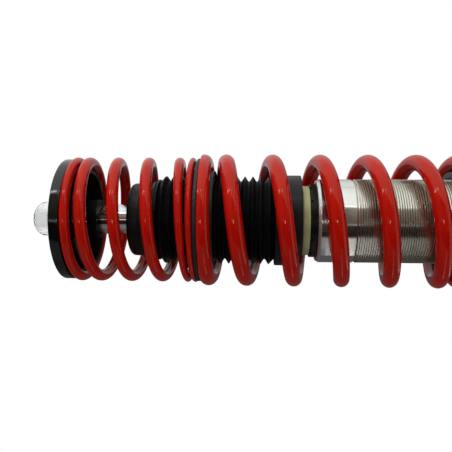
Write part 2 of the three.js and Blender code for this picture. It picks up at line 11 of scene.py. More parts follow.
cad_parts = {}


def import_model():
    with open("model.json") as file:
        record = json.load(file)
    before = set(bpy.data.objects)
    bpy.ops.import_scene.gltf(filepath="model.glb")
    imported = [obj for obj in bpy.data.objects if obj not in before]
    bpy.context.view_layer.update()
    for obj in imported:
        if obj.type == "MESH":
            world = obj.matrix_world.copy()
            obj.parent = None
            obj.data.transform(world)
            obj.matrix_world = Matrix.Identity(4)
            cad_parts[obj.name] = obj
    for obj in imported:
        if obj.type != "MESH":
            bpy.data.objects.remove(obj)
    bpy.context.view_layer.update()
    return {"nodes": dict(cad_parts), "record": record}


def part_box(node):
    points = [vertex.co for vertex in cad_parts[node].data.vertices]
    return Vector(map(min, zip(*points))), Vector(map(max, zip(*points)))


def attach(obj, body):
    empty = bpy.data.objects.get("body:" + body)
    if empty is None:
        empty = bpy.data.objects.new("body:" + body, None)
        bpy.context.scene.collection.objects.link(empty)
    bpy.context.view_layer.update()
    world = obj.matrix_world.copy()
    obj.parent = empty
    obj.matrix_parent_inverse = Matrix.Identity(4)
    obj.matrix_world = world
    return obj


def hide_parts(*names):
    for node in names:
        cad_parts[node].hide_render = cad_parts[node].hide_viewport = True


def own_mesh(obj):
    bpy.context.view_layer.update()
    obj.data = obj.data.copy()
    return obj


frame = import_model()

MM = 0.001

# ---------------------------------------------------------------- sizes, read from the frame
GAP = 0.3  # clearance between neighbouring pieces


def ends(node):
    """Lowest and highest point of a CAD node along the strut."""
    low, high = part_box(node)
    return low[2] / MM, high[2] / MM


def reach(node):
    """Radius of a round CAD node."""
    low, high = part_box(node)
    return max(-low[0], -low[1], high[0], high[1]) / MM


TUBE_RADIUS = reach("strut_tube")
TUBE_BOTTOM, TUBE_TOP = ends("strut_tube")
ROD_RADIUS = 10.0
STUD_RADIUS = 7.0
MAIN_BOTTOM, MAIN_TOP = ends("main_spring")
HELPER_BOTTOM, HELPER_TOP = ends("helper_spring")
MAIN_WIRE = 5.3  # wire radius
MAIN_OVER = 43.7  # outside radius of the coil
HELPER_WIRE = 3.8
HELPER_OVER = 41.6
SEGMENTS = 144  # round a turned piece
EASE = 0.45  # rounding of a turned piece's corners
SIDE_SHARE = 0.45  # how much of a side one rounding may take at most
ON_AXIS = 1e-6  # a radius below this is on the strut's axis
TWICE_THERE = 1e-4  # points closer than this are one point
LEAST = 1e-3  # least number that anything is divided by


# ---------------------------------------------------------------- mesh helpers
def piece(name, shape, body, material, slot, replaced=(), sharp=34.0):
    """A new piece from (vertices, faces) in millimetres, which rides on a body."""
    points, faces = shape
    mesh = bpy.data.meshes.new(name)
    mesh.from_pydata([(x * MM, y * MM, z * MM) for x, y, z in points], [], faces)
    made = bpy.data.objects.new(name, mesh)
    bpy.context.scene.collection.objects.link(made)
    work = bmesh.new()
    work.from_mesh(mesh)
    bmesh.ops.recalc_face_normals(work, faces=work.faces)
    work.to_mesh(mesh)
    work.free()
    mesh.shade_smooth()
    mesh.set_sharp_from_angle(angle=math.radians(sharp))
    mesh.materials.append(material)
    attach(made, body)
    if replaced:
        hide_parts(*replaced)
    return made


def finished(made, material, where):
    """Gives a round piece's faces a second material where their radius and height say so."""
    made.data.materials.append(material)
    for face in made.data.polygons:
        middle = face.center / MM
        if where(middle.xy.length, middle.z):
            face.material_index = 1


def lathed(name, outline, *rest):
    """A piece turned round the strut's axis, with its corners rounded."""
    return piece(name, turned(eased(outline)), *rest)


def joined(*shapes):
    """Several closed shapes as one."""
    points, faces = [], []
    for more_points, more_faces in shapes:
        faces += [[i + len(points) for i in face] for face in more_faces]
        points += list(more_points)
    return points, faces


def moved(shape, matrix):
    """A shape that a matrix has moved."""
    points, faces = shape
    return [tuple(matrix @ Vector(p)) for p in points], faces


def eased(outline, radius=EASE, steps=4):
    """A closed outline with its corners rounded. A point's third number is its own rounding."""
    result = []
    for i, point in enumerate(outline):
        here = Vector(point[:2])
        rounding = point[2] if len(point) > 2 else radius
        back = Vector(outline[i - 1][:2]) - here
        ahead = Vector(outline[(i + 1) % len(outline)][:2]) - here
        if here.x < ON_AXIS or rounding <= 0:
            result.append(tuple(here))
            continue
        trim = rounding / max(math.tan(back.angle(ahead) / 2), LEAST)
        start = here + back.normalized() * min(trim, SIDE_SHARE * back.length)
        end = here + ahead.normalized() * min(trim, SIDE_SHARE * ahead.length)
        for k in range(steps + 1):
            t = k / steps
            result.append(tuple(start * (1 - t) ** 2 + here * 2 * t * (1 - t) + end * t**2))
    return result


def turned(outline, segments=SEGMENTS):
    """A closed outline of (radius, height) turned right round the strut's axis."""
    points, rings, faces = [], [], []
    for radius, height in outline:
        if radius < ON_AXIS:
            rings.append([len(points)] * segments)
            points.append((0.0, 0.0, height))
            continue
        rings.append(list(range(len(points), len(points) + segments)))
        for i in range(segments):
            angle = 2 * math.pi * i / segments
            points.append((radius * math.cos(angle), radius * math.sin(angle), height))
    for low, high in zip(rings, rings[1:] + rings[:1]):
        for i in range(segments):
            j = (i + 1) % segments
            corners = list(dict.fromkeys([low[i], low[j], high[j], high[i]]))
            if len(corners) > 2:
                faces.append(corners)
    return points, faces


def swept_round(angles, outline_at, whole=True):
    """Joins the outlines of (radius, height) given for each angle, right round or with ends."""
    sections = [outline_at(angle) for angle in angles]
    count = len(sections[0])
    points = [
        (radius * math.cos(angle), radius * math.sin(angle), height)
        for angle, section in zip(angles, sections)
        for radius, height in section
    ]
    faces = []
    for i in range(len(angles) if whole else len(angles) - 1):
        j = (i + 1) % len(angles)
        for k in range(count):
            m = (k + 1) % count
            faces.append([i * count + k, j * count + k, j * count + m, i * count + m])
    if not whole:
        faces.append(list(range(count)))
        faces.append(list(range((len(angles) - 1) * count, len(angles) * count)))
    return points, faces


def tube_of(rings):
    """Joins rings of points into one closed tube."""
    sides = len(rings[0])
    faces = []
    for i in range(len(rings) - 1):
        low, high = i * sides, (i + 1) * sides
        for k in range(sides):
            m = (k + 1) % sides
            faces.append([low + k, high + k, high + m, low + m])
    last = (len(rings) - 1) * sides
    faces.append(list(range(sides)))
    faces.append(list(range(last, last + sides)))
    return [tuple(p) for ring in rings for p in ring], faces


def slab(outlines, thickness, edge):
    """A flat plate in X and Y, with holes, its middle at height 0 and its edges rounded."""
    curve = bpy.data.curves.new("slab", "CURVE")
    curve.dimensions = "2D"
    curve.fill_mode = "BOTH"
    curve.extrude = thickness / 2 - edge
    curve.bevel_depth = edge
    curve.bevel_resolution = 2
    curve.offset = -edge
    for outline in outlines:
        spline = curve.splines.new("POLY")
        spline.points.add(len(outline) - 1)
        spline.use_cyclic_u = True
        for point, (x, y) in zip(spline.points, outline):
            point.co = (x, y, 0, 1)
    holder = bpy.data.objects.new("slab", curve)
    bpy.context.scene.collection.objects.link(holder)
    bpy.context.view_layer.update()
    seen = holder.evaluated_get(bpy.context.evaluated_depsgraph_get())
    mesh = bpy.data.meshes.new_from_object(seen)
    work = bmesh.new()
    work.from_mesh(mesh)
    bmesh.ops.remove_doubles(work, verts=work.verts, dist=TWICE_THERE)
    work.to_mesh(mesh)
    work.free()
    shape = [tuple(v.co) for v in mesh.vertices], [list(p.vertices) for p in mesh.polygons]
    bpy.data.objects.remove(holder)
    bpy.data.curves.remove(curve)
    bpy.data.meshes.remove(mesh)
    return shape


def arc(x, y, radius, start, end, steps):
    """Points on a circle, from one angle to another."""
    return [
        (x + radius * math.cos(a), y + radius * math.sin(a))
        for a in (start + (end - start) * i / steps for i in range(steps + 1))
    ]


BEAD_TIP = 0.35  # thickness at a bead's ends, and how fast it grows from point to point
BEAD_GROWTH = 0.3
BEAD_STEPS = 60


def bead(path, radius, ripple=0.18, pitch=1.6, sides=10):
    """A weld bead along a path, with the ripples of its pools."""
    points = [Vector(p) for p in path]
    rings, gone = [], 0.0
    for i, here in enumerate(points):
        ahead = points[min(i + 1, len(points) - 1)] - points[max(i - 1, 0)]
        gone += (here - points[i - 1]).length if i else 0.0
        side = Vector((here.x, here.y, 0)).normalized()
        across = ahead.normalized().cross(side).normalized()
        taper = min(1.0, BEAD_TIP + min(i, len(points) - 1 - i) * BEAD_GROWTH)
        size = radius * taper * (1 + ripple * math.sin(2 * math.pi * gone / pitch))
        rings.append(
            [
                here + size * (math.cos(a) * side + math.sin(a) * across)
                for a in (2 * math.pi * k / sides for k in range(sides))
            ]
        )
    return tube_of(rings)


def level_bead(distance, half_angle, z, radius):
    """A bead round part of the tube at one height, to both sides of +X."""
    path = arc(0, 0, distance, -half_angle, half_angle, BEAD_STEPS)
    return bead([(x, y, z) for x, y in path], radius)


def upright_bead(x, y, heights, radius):
    """A bead that climbs the tube."""
    return bead([(x, y, z) for z in heights], radius)


def climbing(low, high):
    """Heights for an upright bead."""
    return [low + (high - low) * i / BEAD_STEPS for i in range(BEAD_STEPS + 1)]


# ---------------------------------------------------------------- materials
def principled(name, colour, roughness, metallic=0.0, **more):
    """A material and its shader, with plain values on the shader's own sockets."""
    made = bpy.data.materials.new(name)
    made.use_nodes = True
    shader = made.node_tree.nodes["Principled BSDF"]
    shader.inputs["Base Color"].default_value = (*colour, 1)
    shader.inputs["Roughness"].default_value = roughness
    shader.inputs["Metallic"].default_value = metallic
    for socket, value in more.items():
        shader.inputs[socket.replace("_", " ")].default_value = value
    return made, shader


def noise(made, scale, detail=2.0, stretch=(1, 1, 1)):
    """Noise over the strut's own coordinates, in features per metre."""
    nodes, links = made.node_tree.nodes, made.node_tree.links
    place = nodes.new("ShaderNodeTexCoord")
    size = nodes.new("ShaderNodeMapping")
    size.inputs["Scale"].default_value = stretch
    grain = nodes.new("ShaderNodeTexNoise")
    grain.inputs["Scale"].default_value = scale
    grain.inputs["Detail"].default_value = detail
    links.new(place.outputs["Object"], size.inputs["Vector"])
    links.new(size.outputs["Vector"], grain.inputs["Vector"])
    return grain.outputs["Fac"]


def spread(made, source, socket, low, high, start=0.35, end=0.65):
    """Drives a number or a colour of the shader between two values."""
    nodes, links = made.node_tree.nodes, made.node_tree.links
    ramp = nodes.new("ShaderNodeValToRGB")
    as_colour = (lambda v: (*v, 1)) if isinstance(low, tuple) else (lambda v: (v, v, v, 1))
    ramp.color_ramp.elements[0].position = start
    ramp.color_ramp.elements[0].color = as_colour(low)
    ramp.color_ramp.elements[1].position = end
    ramp.color_ramp.elements[1].color = as_colour(high)
    links.new(source, ramp.inputs["Fac"])
    links.new(ramp.outputs["Color"], socket)


def bumped(made, shader, source, depth):
    """Bump of that depth in millimetres, on top of what is there already."""
    nodes, links = made.node_tree.nodes, made.node_tree.links
    bump = nodes.new("ShaderNodeBump")
    bump.inputs["Distance"].default_value = depth * MM
    bump.inputs["Strength"].default_value = 1.0
    links.new(source, bump.inputs["Height"])
    for link in shader.inputs["Normal"].links:
        links.new(link.from_socket, bump.inputs["Normal"])
    links.new(bump.outputs["Normal"], shader.inputs["Normal"])


def round_grain(made, shader, amount):
    """Blurs reflections along the strut and not round it, as fine turning marks do."""
    shader.inputs["Anisotropic"].default_value = amount
    shader.inputs["Anisotropic Rotation"].default_value = 0.25
    tangent = made.node_tree.nodes.new("ShaderNodeTangent")
    tangent.direction_type = "RADIAL"
    tangent.axis = "Z"
    made.node_tree.links.new(tangent.outputs["Tangent"], shader.inputs["Tangent"])


def surface(name, colour, roughness, *, tint=(), gloss=(), relief=(), grain=0.0, **more):
    """A material that varies with noise, which is given as noise() takes it.

    The tint and the gloss are (noise, low, high) for the colour and the roughness, and the
    relief is (noise, depth in millimetres).
    """
    made, shader = principled(name, colour, roughness, **more)
    if grain:
        round_grain(made, shader, grain)
    if tint:
        spread(made, noise(made, *tint[0]), shader.inputs["Base Color"], *tint[1:])
    if gloss:
        spread(made, noise(made, *gloss[0]), shader.inputs["Roughness"], *gloss[1:])
    if relief:
        bumped(made, shader, noise(made, *relief[0]), relief[1])
    return made


METAL = 1.0
ALONG = (0.04, 0.04, 1.0)  # stretch that makes rings round the strut's axis

RED = surface(
    "red_powder_coat",
    (0.55, 0.0058, 0.0015),
    0.1,
    tint=((70,), (0.52, 0.0052, 0.0012), (0.58, 0.0064, 0.0018)),
    relief=((420, 1.0), 0.012),
    Specular_IOR_Level=0.3,
    Specular_Tint=(1.0, 0.93, 0.68, 1),
)
ZINC = surface(
    "bright_zinc",
    (0.76, 0.75, 0.71),
    0.14,
    metallic=METAL,
    grain=0.7,
    tint=((45, 4.0), (0.72, 0.7, 0.65), (0.8, 0.795, 0.77)),
    gloss=((900, 3.0, ALONG), 0.11, 0.19),
    relief=((1400, 2.0, ALONG), 0.006),
)
# Paler and rougher than the zinc: a painted highlight along the tube's end bevel.
BEVEL_HIGHLIGHT = surface(
    "bevel_painted_highlight",
    (0.9, 0.9, 0.88),
    0.5,
    metallic=METAL,
    gloss=((1200, 2.0, ALONG), 0.45, 0.55),
)
THREADED = surface(
    "threaded_zinc",
    (0.64, 0.63, 0.55),
    0.26,
    metallic=METAL,
    tint=((60, 4.0), (0.58, 0.565, 0.48), (0.7, 0.69, 0.61)),
    gloss=((900, 3.0, ALONG), 0.22, 0.32),
    relief=((1600, 2.0), 0.006),
)
WELD = surface(
    "zinc_weld",
    (0.5, 0.49, 0.46),
    0.42,
    metallic=METAL,
    tint=((500, 3.0), (0.34, 0.32, 0.28), (0.6, 0.59, 0.55)),
    relief=((1500, 3.0), 0.08),
)
CHROME = surface(
    "polished_chrome",
    (0.8, 0.8, 0.82),
    0.13,
    metallic=METAL,
    grain=0.8,
    gloss=((2200, 2.0, ALONG), 0.1, 0.16),
    relief=((2600, 2.0, ALONG), 0.002),
)
GLOSS = surface(
    "gloss_black",
    (0.003, 0.0035, 0.0035),
    0.08,
    gloss=((300,), 0.07, 0.12),
    relief=((700, 2.0), 0.004),
    Specular_IOR_Level=0.62,
)
# A duller black for the upper plate's recess: painted shade where the recess lies in shadow.
RECESS_SHADE = surface(
    "recess_painted_shade_black",
    (0.003, 0.0028, 0.0026),
    0.5,
    gloss=((400, 3.0), 0.42, 0.58),
    relief=((1600, 2.0, ALONG), 0.01),
    Specular_IOR_Level=0.12,
)
PHOSPHATED = surface(
    "phosphated_black",
    (0.0045, 0.0045, 0.0042),
    0.36,
    gloss=((400, 3.0), 0.3, 0.42),
    relief=((1600, 2.0, ALONG), 0.008),
    Specular_IOR_Level=0.22,
)
ANODISED = surface(
    "anodised_black",
    (0.006, 0.0065, 0.007),
    0.4,
    gloss=((350, 3.0), 0.34, 0.48),
    relief=((1600, 2.0, ALONG), 0.012),
)
MOULDED = surface(
    "moulded_black",
    (0.012, 0.0135, 0.014),
    0.48,
    gloss=((260, 3.0), 0.42, 0.56),
    relief=((1500, 3.0), 0.02),
)
# The bellows get a copy of the boot's rubber that reflects less: painted shade for the bellows
# between the springs.
RUBBER, SHADED_BELLOWS = (
    surface(
        name,
        (0.004, 0.0045, 0.0045),
        0.42,
        tint=((120, 3.0), (0.003, 0.0033, 0.0033), (0.006, 0.0062, 0.006)),
        gloss=((200, 4.0), 0.36, 0.52),
        relief=((2400, 3.0), 0.02),
        Specular_IOR_Level=shine_and_shade,
    )
    for name, shine_and_shade in (("boot_rubber", 0.3), ("bellows_rubber_painted_shade", 0.16))
)
SEAL = surface("seal_rubber", (0.02, 0.02, 0.02), 0.6, relief=((1800, 3.0), 0.02))
FOAM = surface(
    "stop_foam",
    (0.55, 0.42, 0.14),
    0.85,
    tint=((500, 4.0), (0.46, 0.34, 0.1), (0.6, 0.47, 0.17)),
    relief=((1600, 5.0), 0.2),
)
CREAM = surface(
    "cream_plastic",
    (0.52, 0.5, 0.22),
    0.3,
    tint=((90, 3.0), (0.49, 0.47, 0.2), (0.55, 0.53, 0.245)),
    relief=((1200, 2.0), 0.012),
)
CLEAR = surface(
    "clear_plastic",
    (0.995, 1.0, 0.997),
    0.06,
    gloss=((150, 2.0), 0.03, 0.09),
    relief=((260, 2.0), 0.05),
    Transmission_Weight=0.88,
    IOR=1.42,
)
STEEL = surface(
    "turned_steel",
    (0.42, 0.43, 0.44),
    0.34,
    metallic=METAL,
    gloss=((1200, 2.0, ALONG), 0.26, 0.46),
    relief=((1800, 2.0, ALONG), 0.015),
)

# what each CAD node that stays is finished with, by its slot in the record
FINISH = {
    "red_coat": RED,
    "tube_zinc": ZINC,
    "rod_chrome": CHROME,
    "black_coat": ANODISED,
    "divider_plastic": MOULDED,
    "boot_rubber": RUBBER,
    "seal_rubber": SEAL,
    "stop_foam": FOAM,
    "cream_plastic": CREAM,
    "clear_plastic": CLEAR,
    "inner_steel": STEEL,
}
for part in frame["record"]["subparts"]:
    node = frame["nodes"][part["node"]]
    node.data.materials.clear()
    node.data.materials.append(FINISH[part["material_slot"]])


# ---------------------------------------------------------------- coil springs
# The same wire as in the CAD model, with finer steps. At each end: how high the first turn's
# centre starts, the pitch of the closed turns, after how many turns the coil opens and over
# how many, and how much thinner the tip is rolled.
MAIN = {
    "base": MAIN_BOTTOM,
    "length": MAIN_TOP - MAIN_BOTTOM,
    "wire": MAIN_WIRE,
    "over": MAIN_OVER,
    "turns": 6.634,
    "start": 3.0,  # angle of the lower tip, radians
    "low": dict(
        rise=2.0, pitch=1.1, opens=0.61, ramp=0.75, thin=0, thin_turns=0, thin_ramp=1
    ),
    "high": dict(
        rise=1.08, pitch=0.68, opens=0.68, ramp=1.56, thin=0, thin_turns=0, thin_ramp=1
    ),
}
HELPER = {
    "base": HELPER_BOTTOM,
    "length": HELPER_TOP - HELPER_BOTTOM,
    "wire": HELPER_WIRE,
    "over": HELPER_OVER,
    "turns": 5.626,
    "start": 3.026,
    "low": dict(
        rise=0.52, pitch=5.22, opens=1.27, ramp=0.66, thin=0.4, thin_turns=1.1, thin_ramp=0.6
    ),
    "high": dict(
        rise=0.28, pitch=7.08, opens=1.15, ramp=0.8, thin=0.24, thin_turns=0.1, thin_ramp=0.9
    ),
}


def ramp_area(u):
    """Area under a smooth step from 0 to 1."""
    if u <= 0:
        return 0.0
    return u - 0.5 if u >= 1 else u**3 - u**4 / 2


def smooth(u):
    """A smooth step from 0 to 1."""
    t = min(1.0, max(0.0, u))
    return t * t * (3 - 2 * t)


def coil_height(spring, turn):
    """Height of the wire's centre: closed turns at both ends, and the working pitch between."""
    low, high, turns = spring["low"], spring["high"], spring["turns"]

    def opened(end, t):
        return end["ramp"] * ramp_area((t - end["opens"]) / end["ramp"] + 0.5)

    def low_closed(t):
        return t - opened(low, t)

    def high_closed(t):
        return t - (opened(high, turns) - opened(high, turns - t))

    def working(t):
        return t - low_closed(t) - high_closed(t)

    def closed_rise(t):
        return low["pitch"] * low_closed(t) + high["pitch"] * high_closed(t)

    climb = spring["length"] - low["rise"] - high["rise"] - closed_rise(turns)
    return low["rise"] + closed_rise(turn) + climb / working(turns) * working(turn)


def coil_thickness(spring, turn):
    """Share of the wire's thickness along the strut: rolled thinner towards a tip."""

    def thin(end, away):
        return 1 - end["thin"] * (1 - smooth((away - end["thin_turns"]) / end["thin_ramp"]))

    return min(thin(spring["low"], turn), thin(spring["high"], spring["turns"] - turn))


def coil(spring, steps_per_turn=90, sides=28, tip=0.9):
    """One unbroken wire, ground flat on its seats, with its cut ends a little rounded."""
    steps = math.ceil(spring["turns"] * steps_per_turn)
    mean = spring["over"] - spring["wire"]
    around = 2 * math.pi * mean
    tip_turns = [k * tip / 3 / around for k in range(3)]
    inner = [spring["turns"] * i / steps for i in range(1, steps)]
    turns = tip_turns + [t for t in inner if tip / around < t < spring["turns"] - tip / around]
    turns += [spring["turns"] - t for t in reversed(tip_turns)]
    rings = []
    for turn in turns:
        away = min(turn, spring["turns"] - turn) * around
        blunt = math.sqrt(1 - (1 - min(away / tip, 1.0)) ** 2)
        wire = spring["wire"] - tip * (1 - blunt)
        angle = spring["start"] + 2 * math.pi * turn
        height = coil_height(spring, turn)
        thickness = wire * coil_thickness(spring, turn)
        ring = []
        for k in range(sides):
            a = 2 * math.pi * (k + 0.5) / sides
            radius = mean + wire * math.cos(a)
            z = min(spring["length"], max(0.0, height + thickness * math.sin(a)))
            ring.append((radius * math.cos(angle), radius * math.sin(angle), spring["base"] + z))
        rings.append(ring)
    return tube_of(rings)


def shortened(length, travel):
    """Share of a piece's length that is left at the end of a travel."""
    return (length - travel) / length


STROKE = 70.0
DIVIDER_STROKE = STROKE / 2


def springs():
    main = piece("main_coil", coil(MAIN), "seat", RED, "red_coat", ["main_spring"])
    keep = shortened(MAIN["length"], DIVIDER_STROKE)
    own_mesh(main)
    helper = piece("helper_coil", coil(HELPER), "divider", RED, "red_coat", ["helper_spring"])
    keep = shortened(HELPER["length"], STROKE - DIVIDER_STROKE)
    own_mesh(helper)


# ---------------------------------------------------------------- threads
THREAD_SUNK = 0.12  # how far a ridge is sunk in its core
RIDGE_FOOT, RIDGE_TOP = 0.38, 0.12  # half widths of a ridge, in pitches


def thread(root, crest, pitch, low, high, segments=96, fade=0.6):
    """A right-hand thread's ridge from one height to another, sunk a little in its core."""
    turns = (high - low) / pitch
    steps = round(turns * segments)
    rings = []
    for i in range(steps + 1):
        turn = turns * i / steps
        angle = 2 * math.pi * turn
        rise = smooth(min(turn, turns - turn) / fade)
        top = root + (crest - root) * rise
        base = root - THREAD_SUNK
        height = low + pitch * turn
        foot, flank = RIDGE_FOOT * pitch, RIDGE_TOP * pitch
        profile = [(base, -foot), (top, -flank), (top, flank), (base, foot)]
        rings.append([(r * math.cos(angle), r * math.sin(angle), height + z) for r, z in profile])
    return tube_of(rings)


# ---------------------------------------------------------------- damper tube
THREAD_PITCH = 1.5
THREAD_TOP = 278.6
THREAD_BOTTOM = 147.0
THREAD_ROOT = TUBE_RADIUS - 0.9
TUBE_BORE = TUBE_RADIUS - 3.0
TUBE_CHAMFER = 1.8
THREAD_RUNOUT = 1.0
END_BEVEL = 1.9
END_BEVEL_DEPTH = 1.1
# The end bevel's paler finish is a painted highlight; the next number says where it starts.
HIGHLIGHT_FROM = 0.5  # the end face's bright part starts this far outside the bore
FOOT_DISH = 1.2  # hollow of the foot, and its rim
FOOT_RIM_INSIDE, FOOT_RIM = 6.0, 3.0
RING_BEAD = 1.1  # radius of the stop ring's weld, and how far above it and outside the bore
RING_BEAD_RISE, RING_BEAD_OUT = 0.3, 0.5
RING_BEAD_STEPS = 720


def damper_tube():
    outline = [
        (TUBE_BORE, TUBE_BOTTOM),
        (TUBE_RADIUS - TUBE_CHAMFER, TUBE_BOTTOM),
        (TUBE_RADIUS, TUBE_BOTTOM + TUBE_CHAMFER),
        (TUBE_RADIUS, THREAD_BOTTOM - THREAD_RUNOUT),
        (THREAD_ROOT, THREAD_BOTTOM, 0.2),
        (THREAD_ROOT, THREAD_TOP, 0.2),
        (TUBE_RADIUS, THREAD_TOP + THREAD_RUNOUT, 0.2),
        (TUBE_RADIUS, TUBE_TOP - END_BEVEL, 0.3),
        (TUBE_RADIUS - END_BEVEL_DEPTH, TUBE_TOP, 0.3),
        (TUBE_BORE, TUBE_TOP),
    ]
    tube = lathed("damper_tube", outline, "housing", ZINC, "tube_zinc", ["strut_tube"])
    # The end bevel gets the paler, rougher finish: a painted highlight.
    highlight_start = TUBE_BORE + HIGHLIGHT_FROM
    finished(tube, BEVEL_HIGHLIGHT, lambda radius, z: z > TUBE_TOP - END_BEVEL and radius > highlight_start)
    ridge = thread(THREAD_ROOT, TUBE_RADIUS, THREAD_PITCH, THREAD_BOTTOM, THREAD_TOP)
    piece("tube_thread", ridge, "housing", THREADED, "tube_zinc")
    low, high = ends("bottom_cap")
    edge = reach("bottom_cap")
    outline = [
        (0, low + FOOT_DISH),
        (edge - FOOT_RIM_INSIDE, low + FOOT_DISH, 2),
        (edge - FOOT_RIM, low, 2),
        (edge, low),
        (edge, high),
        (0, high),
    ]
    lathed("foot_plug", outline, "housing", ZINC, "tube_zinc", ["bottom_cap"])
    low, high = ends("clamp_stop_ring")
    edge = reach("clamp_stop_ring")
    bore = TUBE_RADIUS + GAP
    outline = [(bore, low), (edge, low, 0.8), (edge, high, 1.2), (bore, high)]
    lathed("stop_ring", outline, "housing", ZINC, "tube_zinc", ["clamp_stop_ring"])
    path = arc(0, 0, bore + RING_BEAD_OUT, 0, 2 * math.pi, RING_BEAD_STEPS)
    seam = bead([(x, y, high + RING_BEAD_RISE) for x, y in path], RING_BEAD)
    piece("stop_ring_weld", seam, "housing", WELD, "tube_zinc")


# ---------------------------------------------------------------- stack on the tube's top end
GLAND_NOTCHES = 12
GLAND_NOTCH = 1.2
GLAND_NOTCH_WIDTH = 2.0
GLAND_LEAD = 1.5  # chamfer of the bore
SLOT_TOLERANCE = 0.001  # radians


def slot_angles(count, half_width, between, lean=0.0025):
    """Angles right round, with a close pair at each side of every slot."""
    angles = []
    for i in range(count):
        middle = 2 * math.pi * i / count
        step = 2 * math.pi / count - 2 * half_width
        angles += [middle - half_width, middle - half_width + lean]
        angles += [middle, middle + half_width - lean]
        angles += [middle + half_width + step * k / between for k in range(between)]
    return angles


def in_slot(angle, count, half_width):
    """Whether an angle lies inside one of the evenly spread slots."""
    turn = 2 * math.pi / count
    return abs((angle + turn / 2) % turn - turn / 2) < half_width - SLOT_TOLERANCE


def gland_ring():
    low, high = ends("gland_ring")
    edge = reach("gland_ring")
    bore = ROD_RADIUS + GAP
    half = math.asin(GLAND_NOTCH_WIDTH / 2 / edge)

    def outline_at(angle):
        cut = GLAND_NOTCH if in_slot(angle, GLAND_NOTCHES, half) else 0.0
        return eased(
            [
                (bore, low),
                (edge, low),
                (edge, high - GLAND_NOTCH, 0.1),
                (edge - cut, high - cut, 0.3),
                (edge - GLAND_NOTCH, high, 0.1),
                (bore + GLAND_LEAD, high, 0.2),
                (bore, high - GLAND_LEAD, 0.2),
            ]
        )

    shape = swept_round(slot_angles(GLAND_NOTCHES, half, 10), outline_at)
    piece("gland_nut", shape, "housing", PHOSPHATED, "black_coat", ["gland_ring"])


def strike_ring():
    low, high = ends("strike_ring")
    edge = reach("strike_ring")
    bore = ROD_RADIUS + GAP
    outline = [(bore, low), (edge, low, 0.6), (edge, high, 0.9), (bore, high)]
    lathed("bump_strike_ring", outline, "housing", CREAM, "cream_plastic", ["strike_ring"])


RIBS = 14
RIB_VALLEY = 25.3
BOOT_END = 3.4
BOOT_FOOT, BOOT_HEAD = 0.6, -0.3  # how far the ends stand out from the valleys
BOOT_WALL = 1.4
COLLAR_WALL = 2.6
COLLAR_LID = 2.0


def dust_boot():
    low, high = ends("dust_boot")
    crest = reach("dust_boot")
    pitch = (high - low - 2 * BOOT_END) / (RIBS - 1)
    outer = [(RIB_VALLEY + BOOT_FOOT, low, 0.2)]
    for i in range(RIBS):
        z = low + BOOT_END + i * pitch
        outer.append((crest, z, 0.55))
        if i + 1 < RIBS:
            outer.append((RIB_VALLEY, z + pitch / 2, 0.8))
    outer.append((RIB_VALLEY + BOOT_HEAD, high, 0.2))
    inner = [(r - BOOT_WALL, z, 0.5) for r, z, _ in reversed(outer)]
    outline = outer + inner
    # The bellows take the less shiny copy of the rubber: painted shade between the springs.
    boot = lathed("boot_bellows", outline, "housing", SHADED_BELLOWS, "boot_rubber", ["dust_boot"])
    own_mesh(boot)


def boot_collar():
    low, high = ends("boot_collar")
    edge = reach("boot_collar")
    bore = edge - COLLAR_WALL
    outline = [
        (bore, low, 0.5),
        (edge, low, 0.7),
        (edge, high, 1.0),
        (RIB_VALLEY - BOOT_WALL, high, 0.3),
        (RIB_VALLEY - BOOT_WALL, high - COLLAR_LID),
        (bore, high - COLLAR_LID),
    ]
    lathed("boot_end_collar", outline, "housing", RUBBER, "boot_rubber", ["boot_collar"])


SHOULDER_HEIGHT = 2.8
SHOULDER_UNDER, SHOULDER_OVER = 0.6, 1.2  # the slope from the shoulder to the neck
NECK_RADIUS = 25.1
NECK_HEIGHT = 8.0
NECK_STEP = 0.7
CUP_RADIUS = 24.3
CUP_ROUNDING = 4.0
CUP_LID = 4.4
CUP_BORE = 22.2


def boot_cup():
    low, high = ends("boot_cup")
    edge = reach("boot_cup")
    shoulder = low + SHOULDER_HEIGHT
    neck = shoulder + NECK_HEIGHT
    outline = [
        (CUP_BORE, low, 0.2),
        (edge, low, 0.5),
        (edge, shoulder - SHOULDER_UNDER, 1.4),
        (NECK_RADIUS, shoulder + SHOULDER_OVER, 1.6),
        (NECK_RADIUS, neck, 0.5),
        (CUP_RADIUS, neck + NECK_STEP, 0.5),
        (CUP_RADIUS, high, CUP_ROUNDING),
        (ROD_RADIUS + GAP, high, 0.4),
        (ROD_RADIUS + GAP, high - CUP_LID),
        (CUP_BORE, high - CUP_LID),
    ]
    shape = turned(eased(outline, steps=8))
    piece("bump_cup_shell", shape, "bump_cup", RUBBER, "boot_rubber", ["boot_cup"])


# ---------------------------------------------------------------- upper plate, rod and cap
HUB_RADIUS = 13.0
LIP_WALL = 3.0
PLATE_WEB = 4.5
LIP_HEIGHT = 9.4
# The plate's recess gets a duller black, a painted shade; the next two numbers say how far it
# reaches.
SHADE_RISE, SHADE_INSIDE = 0.2, 0.6  # how far the dull finish reaches above the web, and the lip
PLATE_THICKNESS = 6.4
ROD_SHOULDER = 11.0
CAP_SEAT_RADIUS = 12.3
CAP_SEAT_DEPTH = 0.6


